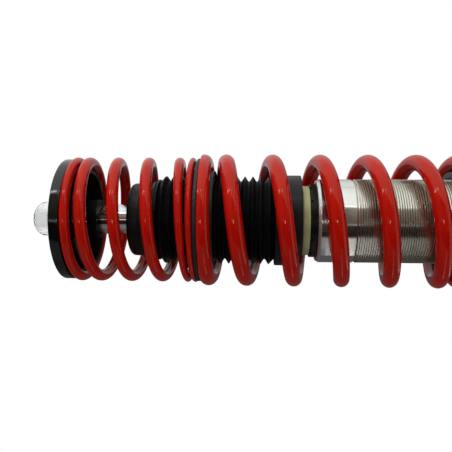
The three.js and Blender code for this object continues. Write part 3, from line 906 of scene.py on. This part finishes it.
def upper_plate():
    hub, top = ends("upper_spring_plate")
    edge = reach("upper_spring_plate")
    seat = top - PLATE_THICKNESS
    lip = HELPER_OVER - 2 * HELPER_WIRE - GAP
    outline = [
        (ROD_RADIUS + GAP, hub, 0.4),
        (HUB_RADIUS, hub, 0.8),
        (HUB_RADIUS, top - PLATE_WEB, 1.0),
        (lip - LIP_WALL, top - PLATE_WEB, 1.0),
        (lip - LIP_WALL, seat - LIP_HEIGHT, 0.5),
        (lip, seat - LIP_HEIGHT, 0.8),
        (lip, seat, 0.5),
        (edge, seat, 0.6),
        (edge, top, 0.8),
        (CAP_SEAT_RADIUS, top, 0.3),
        (CAP_SEAT_RADIUS, top - CAP_SEAT_DEPTH, 0.2),
        (STUD_RADIUS + GAP, top - CAP_SEAT_DEPTH, 0.3),
        (STUD_RADIUS + GAP, hub + ROD_SHOULDER + GAP),
        (ROD_RADIUS + GAP, hub + ROD_SHOULDER + GAP),
    ]
    replaced = ["upper_spring_plate"]
    disc = lathed("upper_plate_disc", outline, "upper_plate", GLOSS, "black_coat", replaced)
    # The recess under the web and inside the lip gets the duller black: painted shade.
    web, inside = top - PLATE_WEB + SHADE_RISE, lip - SHADE_INSIDE
    finished(disc, RECESS_SHADE, lambda radius, z: z < web and radius < inside)


STUD_ROOT = 6.25
STUD_FLAT = 5.5
STUD_FLAT_LENGTH = 6.0
STUD_FLAT_STEP = 0.2
SPINDLE_RADIUS = 6.0
SPINDLE_TOP = 247.1
STUD_THREAD_PITCH = 1.5
STUD_THREAD_LOW = 3.0  # from the shoulder to where the stud's thread starts
ROD_SEGMENTS = 96


def piston_rod():
    low, high = ends("piston_rod")
    shoulder = ends("upper_spring_plate")[0] + ROD_SHOULDER
    outline = [
        (0, low),
        (SPINDLE_RADIUS, low, 0.8),
        (SPINDLE_RADIUS, SPINDLE_TOP),
        (ROD_RADIUS, SPINDLE_TOP, 0.6),
        (ROD_RADIUS, shoulder, 0.8),
        (STUD_ROOT, shoulder, 0.3),
        (STUD_ROOT, high - STUD_FLAT_LENGTH, 0.1),
        (STUD_ROOT, high - STUD_FLAT_LENGTH + STUD_FLAT_STEP, 0.1),
        (STUD_ROOT, high, 0.8),
        (0, high),
    ]
    rounded = eased(outline)

    def outline_at(angle):
        flat = STUD_FLAT / max(abs(math.cos(angle)), LEAST)
        return [(min(r, flat) if z > high - STUD_FLAT_LENGTH else r, z) for r, z in rounded]

    angles = [2 * math.pi * i / ROD_SEGMENTS for i in range(ROD_SEGMENTS)]
    shape = swept_round(angles, outline_at)
    piece("damper_rod", shape, "rod", CHROME, "rod_chrome", ["piston_rod"])
    start, end = shoulder + STUD_THREAD_LOW, high - STUD_FLAT_LENGTH
    ridge = thread(STUD_ROOT, STUD_RADIUS, STUD_THREAD_PITCH, start, end, segments=48)
    piece("stud_thread", ridge, "rod", ZINC, "rod_chrome")


CAP_DOME = 8.0
CAP_SEGMENTS = 96
DOME_STEPS = 20
GATE_RADIUS = 0.9  # the moulding's small sunk gate mark
GATE_RIM, GATE_DEPTH = 0.15, 0.7
GATE_TAPER = 0.8


def protector_cap():
    low, high = ends("thread_protector_cap")
    edge = reach("thread_protector_cap")
    bore = STUD_RADIUS + GAP
    dome = high - CAP_DOME
    ceiling = ends("piston_rod")[1] + GAP
    round_top = [
        (edge * math.cos(a), dome + CAP_DOME * math.sin(a))
        for a in (math.pi / 2 * i / DOME_STEPS for i in range(DOME_STEPS))
        if edge * math.cos(a) > GATE_RADIUS
    ]
    gate = [
        (GATE_RADIUS, high - GATE_RIM),
        (GATE_RADIUS * GATE_TAPER, high - GATE_DEPTH),
        (0, high - GATE_DEPTH),
    ]
    inside = [
        (0, ceiling),
        (bore, ceiling, 1.2),
        (bore, low, 0.3),
        (edge, low, 0.4),
        (edge, dome, 0.0),
    ]
    shape = turned(eased(inside) + round_top[1:] + gate, CAP_SEGMENTS)
    piece("stud_cap", shape, "protector", CLEAR, "clear_plastic", ["thread_protector_cap"])


# ---------------------------------------------------------------- divider, perch and rings
DIVIDER_WALL = 2.1
DIVIDER_LOWER = 9.0
DIVIDER_UPPER = 6.4


def divider():
    low, high = ends("spring_divider")
    edge = reach("spring_divider")
    sleeve = MAIN_OVER - 2 * MAIN_WIRE - GAP
    bore = sleeve - DIVIDER_WALL
    under, over = low + DIVIDER_LOWER, high - DIVIDER_UPPER
    outline = [
        (bore, low, 0.4),
        (sleeve, low, 1.2),
        (sleeve, under, 0.5),
        (edge, under, 0.7),
        (edge, over, 0.7),
        (sleeve, over, 0.5),
        (sleeve, high, 1.2),
        (bore, high, 0.4),
    ]
    lathed("divider_ring", outline, "divider", MOULDED, "divider_plastic", ["spring_divider"])


THREAD_CLEARANCE = 0.6
PERCH_COLLAR = 9.1
RING_SLOTS = 8
RING_SLOT_WIDTH = 8.0
RING_SLOT_DEPTH = 3.5
RING_WALL = 9.5  # from the tube's outside to a ring's


def lower_perch():
    low, high = ends("lower_spring_perch")
    edge = reach("lower_spring_perch")
    bore = TUBE_RADIUS + THREAD_CLEARANCE
    collar = MAIN_OVER - 2 * MAIN_WIRE - GAP
    seat = high - PERCH_COLLAR
    outline = [
        (bore, low, 0.8),
        (edge, low, 1.6),
        (edge, seat, 0.8),
        (collar, seat, 0.6),
        (collar, high, 1.8),
        (bore, high, 0.8),
    ]
    lathed("perch_plate", outline, "seat", ANODISED, "black_coat", ["lower_spring_perch"])
    low, high = ends("thrust_washer")
    edge = reach("thrust_washer")
    outline = [(bore, low, 0.3), (edge, low, 0.5), (edge, high, 0.5), (bore, high, 0.3)]
    lathed("perch_washer", outline, "seat", STEEL, "inner_steel", ["thrust_washer"])


def slotted_ring(name, node):
    """One of the two rings on the thread, with slots for a hook spanner."""
    low, high = ends(node)
    edge = TUBE_RADIUS + RING_WALL
    bore = TUBE_RADIUS + THREAD_CLEARANCE
    half = math.asin(RING_SLOT_WIDTH / 2 / edge)

    def outline_at(angle):
        cut = RING_SLOT_DEPTH if in_slot(angle, RING_SLOTS, half) else 0.0
        out = edge - cut
        return eased([(bore, low, 0.8), (out, low, 0.9), (out, high, 0.9), (bore, high, 0.8)])

    shape = swept_round(slot_angles(RING_SLOTS, half, 16, lean=0.006), outline_at)
    piece(name, shape, "rings", ANODISED, "black_coat", [node])


# ---------------------------------------------------------------- brackets on the lower tube
SADDLE_WALL = 3.0
SADDLE_ANGLE = 0.62
LINK_REACH = 58.0
LINK_THICKNESS = 5.0
LINK_TIP = 12.5
LINK_HOLE = 5.2
HOSE_REACH = 58.0
HOSE_HALF_WIDTH = 13.0
HOSE_HOLE = 7.0
HOSE_ROOT = 4.0
HOSE_TAPER = 0.7
HOSE_LEAD = 6.0
TAB_WIDTH = 6.0
TAB_REACH = 5.5
BRACKET_EDGE, SHEET_EDGE = 0.5, 0.4  # rounding of a plate's edges
SADDLE_STEPS = 24
# weld beads' radii: the saddle's sides and ends, the ear's foot, the hose tab, the locating tab
SIDE_BEAD, END_BEAD, EAR_BEAD, HOSE_BEAD, TAB_BEAD = 1.5, 1.4, 1.2, 1.2, 1.1
SIDE_BEAD_PAST = 0.02  # radians past the saddle's side
END_BEAD_SUNK = 0.9
BEAD_SUNK = 0.2
HOSE_BEAD_OUT, HOSE_BEAD_SHARE = 0.4, 0.9  # from the bore, and share of the tab's width
TAB_BEAD_SUNK = 0.1


def turned_to(degrees):
    """A turn about the strut's axis."""
    return Matrix.Rotation(math.radians(degrees), 4, "Z")


def link_bracket():
    """An upright ear with one cross hole on a curved saddle, pointing along -X."""
    low, high = ends("link_bracket")
    bore = TUBE_RADIUS + GAP
    outer = bore + SADDLE_WALL
    centre = LINK_REACH - LINK_TIP
    middle = (low + high) / 2
    tip = arc(centre, middle, LINK_TIP, -math.pi / 2, math.pi / 2, 32)
    outline = [(bore + 1, low), *tip, (bore + 1, high)]
    hole = arc(centre, middle, LINK_HOLE, 0, -2 * math.pi, 40)[:-1]
    upright = Matrix.Rotation(math.pi / 2, 4, "X")
    ear = moved(slab([outline, hole], LINK_THICKNESS, BRACKET_EDGE), upright)
    section = eased([(bore, low), (outer, low, 0.6), (outer, high, 0.6), (bore, high)])
    angles = [SADDLE_ANGLE * (2 * i / SADDLE_STEPS - 1) for i in range(SADDLE_STEPS + 1)]
    saddle = swept_round(angles, lambda angle: section, whole=False)
    back = turned_to(180)
    shape = moved(joined(saddle, ear), back)
    piece("link_ear", shape, "housing", ZINC, "tube_zinc", ["link_bracket"])
    rise = climbing(low, high)
    side = SADDLE_ANGLE + SIDE_BEAD_PAST
    foot = LINK_THICKNESS / 2
    seams = [
        *(
            upright_bead(outer * math.cos(s), outer * math.sin(s), rise, SIDE_BEAD)
            for s in (-side, side)
        ),
        *(
            level_bead(outer - END_BEAD_SUNK, side, z, END_BEAD)
            for z in (low + BEAD_SUNK, high - BEAD_SUNK)
        ),
        *(upright_bead(outer - BEAD_SUNK, y, rise[1:-1], EAR_BEAD) for y in (-foot, foot)),
    ]
    piece("link_welds", moved(joined(*seams), back), "housing", WELD, "tube_zinc")


def hose_bracket():
    """A level tab with an open slot for a grommet, pointing along +Y."""
    low, high = ends("hose_bracket")
    bore = TUBE_RADIUS + GAP
    centre = HOSE_REACH - HOSE_HALF_WIDTH
    wrap = math.asin(HOSE_HALF_WIDTH / bore)
    root = math.sqrt(bore**2 - HOSE_HALF_WIDTH**2) + HOSE_ROOT
    mouth = math.asin(HOSE_TAPER)
    lead = centre + HOSE_HOLE * math.cos(mouth) + HOSE_LEAD
    outline = [
        *arc(0, 0, bore, wrap, -wrap, 24),
        (root, -HOSE_HALF_WIDTH),
        (centre, -HOSE_HALF_WIDTH),
        (HOSE_REACH, -HOSE_HALF_WIDTH * HOSE_TAPER),
        (lead, -HOSE_HOLE * HOSE_TAPER),
        *arc(centre, 0, HOSE_HOLE, -mouth, mouth - 2 * math.pi, 48),
        (lead, HOSE_HOLE * HOSE_TAPER),
        (HOSE_REACH, HOSE_HALF_WIDTH * HOSE_TAPER),
        (centre, HOSE_HALF_WIDTH),
        (root, HOSE_HALF_WIDTH),
    ]
    lift = Matrix.Translation((0, 0, (low + high) / 2))
    side = turned_to(90)
    tab = moved(slab([outline], high - low, SHEET_EDGE), side @ lift)
    piece("hose_tab", tab, "housing", ZINC, "tube_zinc", ["hose_bracket"])
    seams = [
        level_bead(bore + HOSE_BEAD_OUT, wrap * HOSE_BEAD_SHARE, z, HOSE_BEAD)
        for z in (low - BEAD_SUNK, high + BEAD_SUNK)
    ]
    piece("hose_tab_welds", moved(joined(*seams), side), "housing", WELD, "tube_zinc")


def locating_tab():
    """The tab that enters the slot of the knuckle's clamp, on the -Y side."""
    low, high = ends("locating_tab")
    bore = TUBE_RADIUS + GAP
    tip = bore + TAB_REACH
    outline = [(bore, low), (tip, low + TAB_REACH), (tip, high - TAB_REACH), (bore, high)]
    upright = turned_to(-90) @ Matrix.Rotation(math.pi / 2, 4, "X")
    tab = moved(slab([outline], TAB_WIDTH, BRACKET_EDGE), upright)
    piece("clamp_tab", tab, "housing", ZINC, "tube_zinc", ["locating_tab"])
    rise = climbing(low, high)
    half = TAB_WIDTH / 2
    seams = [upright_bead(x, -bore + TAB_BEAD_SUNK, rise, TAB_BEAD) for x in (-half, half)]
    piece("clamp_tab_welds", joined(*seams), "housing", WELD, "tube_zinc")


# ---------------------------------------------------------------- build
springs()
damper_tube()
gland_ring()
strike_ring()
dust_boot()
boot_collar()
boot_cup()
upper_plate()
piston_rod()
protector_cap()
divider()
lower_perch()
slotted_ring("adjuster_ring", "adjuster_collar")
slotted_ring("locking_ring", "lock_ring")
link_bracket()
hose_bracket()
locating_tab()


# ---------------------------------------------------------------- floor, cards, lights and camera
# lengths are in metres from here on
FLOOR_RADIUS = 0.27
FLOOR_DROP = 0.0002  # how far the floor lies under the strut's foot
FLOOR_COLOUR = (0.8, 0.8, 0.79)
FLOOR_DARK, FLOOR_PALE = (0.78, 0.78, 0.77), (0.82, 0.82, 0.81)
FADE_FROM = 0.3  # share of the floor's radius where it starts to run out
FADE_LEAST = 0.4  # share of the glow in its middle
STUDIO_RADIUS = 0.85  # of the room that only reflections see
STUDIO_LOW, STUDIO_HIGH = -0.5, 1.3
IN_FRONT = 0.02  # how far a card stands inside the room's wall


def disc(radius, z, sides):
    """A level disc: its points and its one face."""
    rim = arc(0, 0, 1, 0, 2 * math.pi, sides)[:-1]
    return [(radius * x, radius * y, z) for x, y in rim], [list(range(sides))]


def stage_object(name, points, faces, material):
    """A piece of the surroundings, which is no part of the strut."""
    mesh = bpy.data.meshes.new(name)
    mesh.from_pydata(points, [], faces)
    mesh.materials.append(material)
    made = bpy.data.objects.new(name, mesh)
    bpy.context.scene.collection.objects.link(made)
    return made


def calculated(tree, operation, *values):
    """The result of a sum on numbers and on other nodes' results."""
    node = tree.nodes.new("ShaderNodeMath")
    node.operation = operation
    for i, value in enumerate(values):
        if isinstance(value, float):
            node.inputs[i].default_value = value
        else:
            tree.links.new(value, node.inputs[i])
    return node.outputs[0]


def seen_directly(tree):
    """1 for rays from the camera, from a mirror or through glass, otherwise 0."""
    path = tree.nodes.new("ShaderNodeLightPath")
    total = path.outputs["Is Camera Ray"]
    for output in ("Is Glossy Ray", "Is Transmission Ray"):
        total = calculated(tree, "MAXIMUM", total, path.outputs[output])
    return total


def floor():
    """A pale round floor under the strut's foot that runs out into the white background."""
    made, shader = principled("pale_floor", FLOOR_COLOUR, 0.7)
    tree = made.node_tree
    spread(made, noise(made, 20, 3.0), shader.inputs["Base Color"], FLOOR_DARK, FLOOR_PALE)
    glow = tree.nodes.new("ShaderNodeEmission")
    mix = tree.nodes.new("ShaderNodeMixShader")
    place = tree.nodes.new("ShaderNodeTexCoord")
    length = tree.nodes.new("ShaderNodeVectorMath")
    length.operation = "LENGTH"
    fade = tree.nodes.new("ShaderNodeMapRange")
    fade.inputs["From Min"].default_value = FADE_FROM * FLOOR_RADIUS
    fade.inputs["From Max"].default_value = FLOOR_RADIUS
    fade.inputs["To Min"].default_value = FADE_LEAST
    tree.links.new(place.outputs["Object"], length.inputs[0])
    tree.links.new(length.outputs["Value"], fade.inputs["Value"])
    direct = calculated(tree, "MULTIPLY", fade.outputs["Result"], seen_directly(tree))
    tree.links.new(direct, mix.inputs["Fac"])
    tree.links.new(shader.outputs["BSDF"], mix.inputs[1])
    tree.links.new(glow.outputs["Emission"], mix.inputs[2])
    tree.links.new(mix.outputs["Shader"], tree.nodes["Material Output"].inputs["Surface"])
    made_floor = stage_object("floor", *disc(FLOOR_RADIUS, -FLOOR_DROP, 96), made)
    made_floor.visible_diffuse = False


# What a mirror on the strut sees right round it: degrees from the camera's side towards +X,
# and the colour there. A window above, its dark frame, a brown wall, a dark table's edge
# and the pale table top below.
SURROUND = [
    (-180, (0.09, 0.09, 0.09)),
    (-90, (0.1, 0.1, 0.1)),
    (-72, (0.19, 0.19, 0.18)),
    (-46, (0.17, 0.17, 0.16)),
    (-44, (0.015, 0.012, 0.012)),
    (-13, (0.015, 0.012, 0.01)),
    (-12, (0.4, 0.38, 0.34)),
    (-9, (0.4, 0.38, 0.34)),
    (-8, (0.09, 0.06, 0.045)),
    (20, (0.26, 0.22, 0.18)),
    (36, (0.33, 0.31, 0.28)),
    (37, (1.7, 1.7, 1.7)),
    (40, (1.7, 1.7, 1.7)),
    (41, (0.85, 0.85, 0.85)),
    (44, (1.05, 1.07, 1.07)),
    (75, (1.08, 1.13, 1.12)),
    (99, (0.9, 0.94, 0.92)),
    (101, (0.6, 0.62, 0.6)),
    (104, (0.9, 0.94, 0.92)),
    (130, (0.8, 0.8, 0.8)),
    (150, (0.5, 0.5, 0.5)),
    (180, (0.5, 0.5, 0.5)),
]
SURROUND_LEAN = math.radians(10.0)  # how much the bands climb per metre up the strut
SURROUND_SPREAD = 0.11  # and how much they spread
SURROUND_LEVEL = 0.05  # height at which they are as listed


def glowing(name, points, faces):
    """A stage object that only reflections see. Gives its node tree and its glow."""
    made = bpy.data.materials.new(name)
    made.use_nodes = True
    tree = made.node_tree
    tree.nodes.remove(tree.nodes["Principled BSDF"])
    glow = tree.nodes.new("ShaderNodeEmission")
    tree.links.new(glow.outputs["Emission"], tree.nodes["Material Output"].inputs["Surface"])
    made_card = stage_object(name, points, faces, made)
    for ray in ("camera", "diffuse", "transmission", "volume_scatter", "shadow"):
        setattr(made_card, "visible_" + ray, False)
    return tree, glow


def wall(name, low, high, bottom, top, radius, steps=48):
    """A bent card round the strut between two angles from the camera's side towards +X."""
    points = []
    for i in range(steps + 1):
        angle = math.radians(low + (high - low) * i / steps)
        x, y = radius * math.sin(angle), -radius * math.cos(angle)
        points += [(x, y, bottom), (x, y, top)]
    faces = [[2 * i, 2 * i + 1, 2 * i + 3, 2 * i + 2] for i in range(steps)]
    return glowing(name, points, faces)


def card(name, degrees, heights, level, inside=IN_FRONT):
    """A card of one brightness in front of the room's wall, between two angles and heights."""
    _, glow = wall(name, *degrees, *heights, STUDIO_RADIUS - inside, steps=4)
    glow.inputs["Strength"].default_value = level


def lid(name, z, level):
    """A flat end of the room."""
    _, glow = glowing(name, *disc(STUDIO_RADIUS, z, 48))
    glow.inputs["Strength"].default_value = level


def surround():
    """The room that only reflections see: a cylinder whose colour runs round it in bands."""
    tree, glow = wall("surround", -180, 180, STUDIO_LOW, STUDIO_HIGH, STUDIO_RADIUS)
    place = tree.nodes.new("ShaderNodeTexCoord")
    split = tree.nodes.new("ShaderNodeSeparateXYZ")
    tree.links.new(place.outputs["Object"], split.inputs["Vector"])
    x, y, z = (split.outputs[axis] for axis in "XYZ")
    angle = calculated(tree, "ARCTAN2", x, calculated(tree, "MULTIPLY", y, -1.0))
    climb = calculated(tree, "MULTIPLY_ADD", angle, SURROUND_SPREAD, SURROUND_LEAN)
    above = calculated(tree, "SUBTRACT", z, SURROUND_LEVEL)
    lean = calculated(tree, "MULTIPLY", above, climb)
    straight = calculated(tree, "SUBTRACT", angle, lean)
    share = calculated(tree, "MULTIPLY_ADD", straight, 0.5 / math.pi, 0.5)
    ramp = tree.nodes.new("ShaderNodeValToRGB")
    stops = ramp.color_ramp.elements
    while len(stops) < len(SURROUND):
        stops.new(1.0)
    for stop, (degrees, colour) in zip(stops, SURROUND):
        stop.position = degrees / 360 + 0.5
        stop.color = (*colour, 1)
    tree.links.new(share, ramp.inputs["Fac"])
    tree.links.new(ramp.outputs["Color"], glow.inputs["Color"])


def lamp(name, place, target, size, level):
    """A soft square lamp. Its level is what a white surface that faces it shows."""
    data = bpy.data.lights.new(name, "AREA")
    data.shape = "SQUARE"
    data.size = size
    away = Vector(place) - Vector(target)
    data.energy = math.pi**2 * away.length**2 * level
    made = bpy.data.objects.new(name, data)
    bpy.context.scene.collection.objects.link(made)
    made.location = place
    made.rotation_mode = "QUATERNION"
    made.rotation_quaternion = away.to_track_quat("Z", "Y")
    made.visible_glossy = False
    made.visible_transmission = False


def world(fill):
    """White where it is seen directly, and a dimmer fill light."""
    made = bpy.data.worlds.new("studio")
    bpy.context.scene.world = made
    made.use_nodes = True
    tree = made.node_tree
    background = tree.nodes["Background"]
    background.inputs["Color"].default_value = (1, 1, 1, 1)
    level = tree.nodes.new("ShaderNodeMapRange")
    level.inputs["To Min"].default_value = fill
    level.inputs["To Max"].default_value = 1.0
    tree.links.new(seen_directly(tree), level.inputs["Value"])
    tree.links.new(level.outputs["Result"], background.inputs["Strength"])


# the camera as fitted to the photograph: its distance and height, tilts and focal length
CAMERA_DISTANCE = 0.385
CAMERA_HEIGHT = 0.340
CAMERA_TILT = math.radians(3.3)
CAMERA_ROLL = math.radians(0.45)
FOCAL_PIXELS = 575.0
FRAME_PIXELS = 452.0
AXIS_ABOVE_CENTRE = 6.0  # pixels between the optical axis and the frame's centre
SENSOR = 36.0
NEAREST = 0.01  # that the camera sees


def camera():
    """The photograph's own view."""
    data = bpy.data.cameras.new("camera")
    data.sensor_width = SENSOR
    data.lens = SENSOR * FOCAL_PIXELS / FRAME_PIXELS
    data.shift_y = -AXIS_ABOVE_CENTRE / FRAME_PIXELS
    data.clip_start = NEAREST
    forward = Vector((0, math.cos(CAMERA_TILT), math.sin(CAMERA_TILT)))
    right = Vector((0, math.sin(CAMERA_TILT), -math.cos(CAMERA_TILT)))
    up = Vector((1, 0, 0))
    leant_right = math.cos(CAMERA_ROLL) * right + math.sin(CAMERA_ROLL) * up
    leant_up = math.cos(CAMERA_ROLL) * up - math.sin(CAMERA_ROLL) * right
    made = bpy.data.objects.new("camera", data)
    bpy.context.scene.collection.objects.link(made)
    turn = Matrix((leant_right, leant_up, -forward)).transposed().to_4x4()
    made.matrix_world = Matrix.Translation((0, -CAMERA_DISTANCE, CAMERA_HEIGHT)) @ turn
    bpy.context.scene.camera = made


AIM = (0, 0, 0.33)  # the middle of what the photograph shows

floor()
surround()
card("lamp_left", degrees=(49.5, 53.0), heights=(0.7, 1.25), level=9.0)
card("lamp_middle", degrees=(49.5, 51.5), heights=(0.26, 0.42), level=9.0)
card("lamp_front", degrees=(-5.5, -1.0), heights=(0.36, 0.47), level=11.0)
card("table_patch", degrees=(-108.0, -47.0), heights=(0.1, 0.2), level=1.1)
card("table_edge", degrees=(-5.0, -2.5), heights=(0.62, 0.95), level=1.6)
card("dark_middle", degrees=(-30.0, 34.0), heights=(0.13, 0.48), level=0.035, inside=0.01)
lid("ceiling", z=STUDIO_HIGH, level=0.15)
lid("ground", z=STUDIO_LOW, level=0.1)
world(fill=0.33)
lamp("overhead", place=(0.95, -0.38, 0.6), target=AIM, size=0.8, level=0.6)
lamp("front", place=(0.35, -1.0, 0.6), target=AIM, size=0.6, level=0.07)
camera()

bpy.context.scene.view_settings.view_transform = "Standard"
